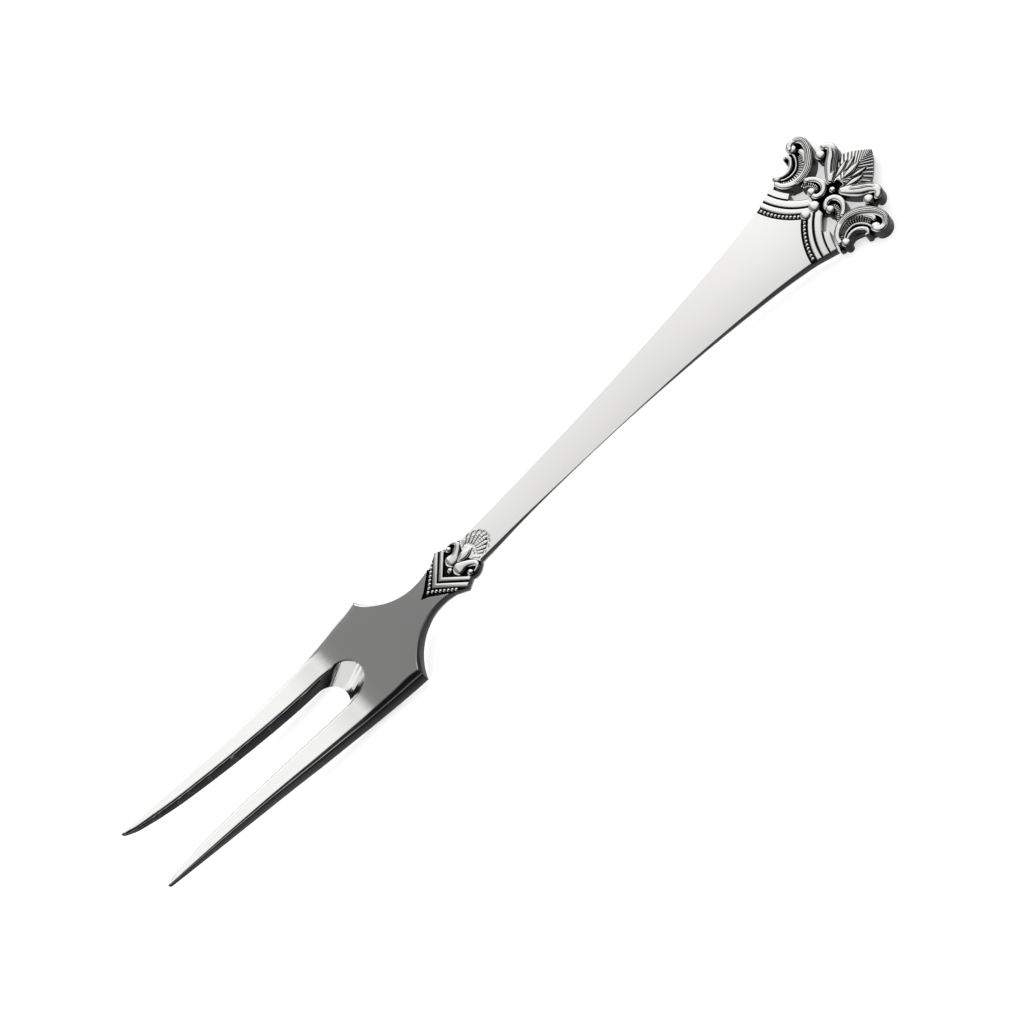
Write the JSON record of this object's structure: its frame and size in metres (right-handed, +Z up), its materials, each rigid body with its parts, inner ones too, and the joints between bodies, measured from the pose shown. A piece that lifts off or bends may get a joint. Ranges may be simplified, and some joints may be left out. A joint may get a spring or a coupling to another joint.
{
  "type": "cold meat fork",
  "caption": "Slim serving fork for cold meat, with upturned tines, a carved neck, a flat flared handle and a pierced scroll crown.",
  "frame": {"origin": "on the table, under the middle of the fork's length and width, as it lies with its tines curving up", "axes": "+X towards the crown at the end of the handle, +Y to the left seen from the tines, +Z up from the table"},
  "size_m": [0.16, 0.024, 0.0079],
  "materials": {
    "silver": "polished silver with darkened recesses"
  },
  "bodies": {
    "root": {"cold_meat_fork": "silver"}
  },
  "joints": []
}
